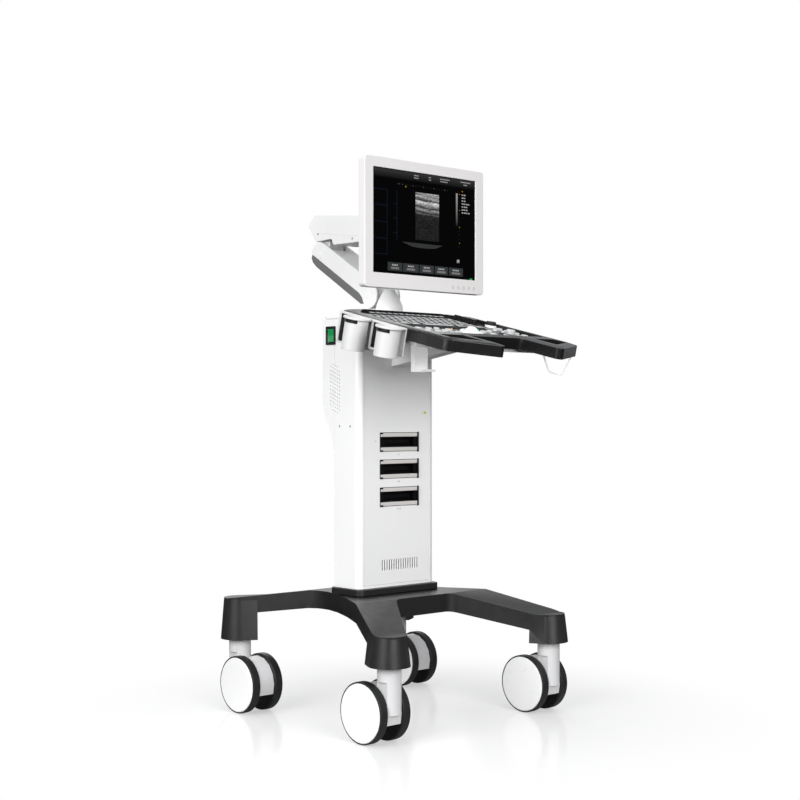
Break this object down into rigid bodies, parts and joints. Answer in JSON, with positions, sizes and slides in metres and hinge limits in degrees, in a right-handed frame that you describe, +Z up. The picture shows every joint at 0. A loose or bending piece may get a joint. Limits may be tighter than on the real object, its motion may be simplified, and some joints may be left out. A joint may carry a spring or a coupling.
{
  "type": "ultrasound scanner",
  "caption": "Trolley ultrasound scanner: wheeled base, electronics column with probe sockets, sloping key console, probe cups and a monitor on a parallel-link arm.",
  "frame": {"origin": "on the floor, under the centre of the overall bounding box", "axes": "+Z up, +X to the user's right, +Y away from the user who stands at -Y"},
  "size_m": [0.5574, 0.7134, 1.2005],
  "materials": {
    "white_plastic": "satin white moulded plastic and powder coat",
    "base_black": "satin black powder coat",
    "console_black": "satin black moulded plastic",
    "arm_grey": "dark grey moulded plastic",
    "key_grey": "light grey moulded keys",
    "port_black": "black moulded connector",
    "wheel_rubber": "black tread ring on a white disc",
    "brake_grey": "grey moulded pedal",
    "switch_green": "translucent green rocker",
    "steel": "bright steel",
    "screen_glass": "anti-glare display panel"
  },
  "bodies": {
    "trolley": {"base_frame": "base_black", "column_plinth": "base_black", "column_shell": "white_plastic", "front_panel": "white_plastic", "rear_cover": "white_plastic", "column_cap": "white_plastic", "electronics_chassis": "steel", "probe_port_1": "port_black", "probe_port_2": "port_black", "probe_port_3": "port_black", "console_top": "console_black", "console_bottom": "white_plastic", "console_bracket": "white_plastic", "key_mat": "key_grey", "cable_hook_left": "white_plastic", "cable_hook_right": "white_plastic", "probe_cup_rear": "white_plastic", "probe_cup_front": "white_plastic", "arm_socket": "white_plastic"},
    "caster_front_left": {"caster_housing_front_left": "white_plastic", "caster_axle_front_left": "steel"},
    "wheel_left_front_left": {"wheel_left_front_left": "wheel_rubber"},
    "wheel_right_front_left": {"wheel_right_front_left": "wheel_rubber"},
    "brake_front_left": {"brake_pedal_front_left": "brake_grey"},
    "caster_front_right": {"caster_housing_front_right": "white_plastic", "caster_axle_front_right": "steel"},
    "wheel_left_front_right": {"wheel_left_front_right": "wheel_rubber"},
    "wheel_right_front_right": {"wheel_right_front_right": "wheel_rubber"},
    "brake_front_right": {"brake_pedal_front_right": "brake_grey"},
    "caster_rear_left": {"caster_housing_rear_left": "white_plastic", "caster_axle_rear_left": "steel"},
    "wheel_left_rear_left": {"wheel_left_rear_left": "wheel_rubber"},
    "wheel_right_rear_left": {"wheel_right_rear_left": "wheel_rubber"},
    "caster_rear_right": {"caster_housing_rear_right": "white_plastic", "caster_axle_rear_right": "steel"},
    "wheel_left_rear_right": {"wheel_left_rear_right": "wheel_rubber"},
    "wheel_right_rear_right": {"wheel_right_rear_right": "wheel_rubber"},
    "power_rocker": {"power_switch": "switch_green"},
    "trackball": {"trackball": "white_plastic"},
    "gain_knob": {"gain_knob": "console_black"},
    "freeze_button": {"freeze_button": "key_grey"},
    "tgc_slider_1": {"tgc_slider_1": "console_black"},
    "tgc_slider_2": {"tgc_slider_2": "console_black"},
    "tgc_slider_3": {"tgc_slider_3": "console_black"},
    "tgc_slider_4": {"tgc_slider_4": "console_black"},
    "tgc_slider_5": {"tgc_slider_5": "console_black"},
    "tgc_slider_6": {"tgc_slider_6": "console_black"},
    "tgc_slider_7": {"tgc_slider_7": "console_black"},
    "tgc_slider_8": {"tgc_slider_8": "console_black"},
    "swivel_head": {"swivel_head": "white_plastic"},
    "lower_arm": {"lower_arm": "white_plastic", "lower_arm_cover": "arm_grey"},
    "tie_link": {"tie_link": "steel"},
    "elbow": {"elbow_block": "white_plastic"},
    "upper_arm": {"upper_arm": "white_plastic"},
    "pan_block": {"pan_block": "white_plastic"},
    "monitor": {"tilt_bracket": "white_plastic", "monitor_back": "white_plastic", "monitor_bezel": "white_plastic", "screen_panel": "screen_glass"}
  },
  "joints": [
    {"name": "caster_front_left_swivel", "type": "hinge", "parent": "trolley", "child": "caster_front_left", "pos_m": [-0.236, -0.18398, 0.17], "axis": [0, 0, 1], "continuous": true},
    {"name": "wheel_left_front_left_spin", "type": "hinge", "parent": "caster_front_left", "child": "wheel_left_front_left", "pos_m": [-0.236, -0.14198, 0.0625], "axis": [1, 0, 0], "continuous": true},
    {"name": "wheel_right_front_left_spin", "type": "hinge", "parent": "caster_front_left", "child": "wheel_right_front_left", "pos_m": [-0.236, -0.14198, 0.0625], "axis": [1, 0, 0], "continuous": true},
    {"name": "brake_front_left_press", "type": "hinge", "parent": "caster_front_left", "child": "brake_front_left", "pos_m": [-0.236, -0.09578, 0.08], "axis": [-1, 0, 0], "range_deg": [0, 12]},
    {"name": "caster_front_right_swivel", "type": "hinge", "parent": "trolley", "child": "caster_front_right", "pos_m": [0.236, -0.18398, 0.17], "axis": [0, 0, 1], "continuous": true},
    {"name": "wheel_left_front_right_spin", "type": "hinge", "parent": "caster_front_right", "child": "wheel_left_front_right", "pos_m": [0.236, -0.14198, 0.0625], "axis": [1, 0, 0], "continuous": true},
    {"name": "wheel_right_front_right_spin", "type": "hinge", "parent": "caster_front_right", "child": "wheel_right_front_right", "pos_m": [0.236, -0.14198, 0.0625], "axis": [1, 0, 0], "continuous": true},
    {"name": "brake_front_right_press", "type": "hinge", "parent": "caster_front_right", "child": "brake_front_right", "pos_m": [0.236, -0.09578, 0.08], "axis": [-1, 0, 0], "range_deg": [0, 12]},
    {"name": "caster_rear_left_swivel", "type": "hinge", "parent": "trolley", "child": "caster_rear_left", "pos_m": [-0.236, 0.31402, 0.17], "axis": [0, 0, 1], "continuous": true},
    {"name": "wheel_left_rear_left_spin", "type": "hinge", "parent": "caster_rear_left", "child": "wheel_left_rear_left", "pos_m": [-0.236, 0.27202, 0.0625], "axis": [1, 0, 0], "continuous": true},
    {"name": "wheel_right_rear_left_spin", "type": "hinge", "parent": "caster_rear_left", "child": "wheel_right_rear_left", "pos_m": [-0.236, 0.27202, 0.0625], "axis": [1, 0, 0], "continuous": true},
    {"name": "caster_rear_right_swivel", "type": "hinge", "parent": "trolley", "child": "caster_rear_right", "pos_m": [0.236, 0.31402, 0.17], "axis": [0, 0, 1], "continuous": true},
    {"name": "wheel_left_rear_right_spin", "type": "hinge", "parent": "caster_rear_right", "child": "wheel_left_rear_right", "pos_m": [0.236, 0.27202, 0.0625], "axis": [1, 0, 0], "continuous": true},
    {"name": "wheel_right_rear_right_spin", "type": "hinge", "parent": "caster_rear_right", "child": "wheel_right_rear_right", "pos_m": [0.236, 0.27202, 0.0625], "axis": [1, 0, 0], "continuous": true},
    {"name": "power_switch_rock", "type": "hinge", "parent": "trolley", "child": "power_rocker", "pos_m": [-0.1125, 0.14402, 0.83], "axis": [0, 1, 0], "range_deg": [-12, 0]},
    {"name": "trackball_roll", "type": "hinge", "parent": "trolley", "child": "trackball", "pos_m": [0, -0.17963, 0.82603], "axis": [1, 0, 0], "continuous": true},
    {"name": "gain_knob_turn", "type": "hinge", "parent": "trolley", "child": "gain_knob", "pos_m": [0.156, -0.08605, 0.85636], "axis": [0, -0.225, 0.9744], "continuous": true},
    {"name": "freeze_button_press", "type": "slide", "parent": "trolley", "child": "freeze_button", "axis": [0, 0.225, -0.9744], "range_m": [0, 0.0018], "stiffness_N_per_m": 300},
    {"name": "tgc_slider_1_slide", "type": "slide", "parent": "trolley", "child": "tgc_slider_1", "axis": [1, 0, 0], "range_m": [-0.012, 0.012]},
    {"name": "tgc_slider_2_slide", "type": "slide", "parent": "trolley", "child": "tgc_slider_2", "axis": [1, 0, 0], "range_m": [-0.012, 0.012]},
    {"name": "tgc_slider_3_slide", "type": "slide", "parent": "trolley", "child": "tgc_slider_3", "axis": [1, 0, 0], "range_m": [-0.012, 0.012]},
    {"name": "tgc_slider_4_slide", "type": "slide", "parent": "trolley", "child": "tgc_slider_4", "axis": [1, 0, 0], "range_m": [-0.012, 0.012]},
    {"name": "tgc_slider_5_slide", "type": "slide", "parent": "trolley", "child": "tgc_slider_5", "axis": [1, 0, 0], "range_m": [-0.012, 0.012]},
    {"name": "tgc_slider_6_slide", "type": "slide", "parent": "trolley", "child": "tgc_slider_6", "axis": [1, 0, 0], "range_m": [-0.012, 0.012]},
    {"name": "tgc_slider_7_slide", "type": "slide", "parent": "trolley", "child": "tgc_slider_7", "axis": [1, 0, 0], "range_m": [-0.012, 0.012]},
    {"name": "tgc_slider_8_slide", "type": "slide", "parent": "trolley", "child": "tgc_slider_8", "axis": [1, 0, 0], "range_m": [-0.012, 0.012]},
    {"name": "arm_swivel", "type": "hinge", "parent": "trolley", "child": "swivel_head", "pos_m": [0, 0.11002, 0.885], "axis": [0, 0, 1], "range_deg": [-90, 90]},
    {"name": "arm_lift", "type": "hinge", "parent": "swivel_head", "child": "lower_arm", "pos_m": [0, 0.11002, 0.922], "axis": [1, 0, 0], "range_deg": [-10, 24]},
    {"name": "tie_link_turn", "type": "hinge", "parent": "swivel_head", "child": "tie_link", "pos_m": [0, 0.12302, 0.914], "axis": [1, 0, 0], "range_deg": [-10, 24]},
    {"name": "elbow_level", "type": "hinge", "parent": "lower_arm", "child": "elbow", "pos_m": [0, 0.28002, 1.024], "axis": [1, 0, 0], "range_deg": [-24, 10]},
    {"name": "upper_arm_swivel", "type": "hinge", "parent": "elbow", "child": "upper_arm", "pos_m": [0, 0.28002, 1.07], "axis": [0, 0, 1], "range_deg": [-60, 60]},
    {"name": "monitor_pan", "type": "hinge", "parent": "upper_arm", "child": "pan_block", "pos_m": [0, 0.07302, 1.06], "axis": [0, 0, 1], "range_deg": [-50, 50]},
    {"name": "monitor_tilt", "type": "hinge", "parent": "pan_block", "child": "monitor", "pos_m": [0, 0.01702, 1.042], "axis": [1, 0, 0], "range_deg": [-20, 5]}
  ],
  "couplings": [
    {"joint": "tie_link_turn", "follows": "arm_lift", "ratio": 1},
    {"joint": "elbow_level", "follows": "arm_lift", "ratio": -1}
  ]
}
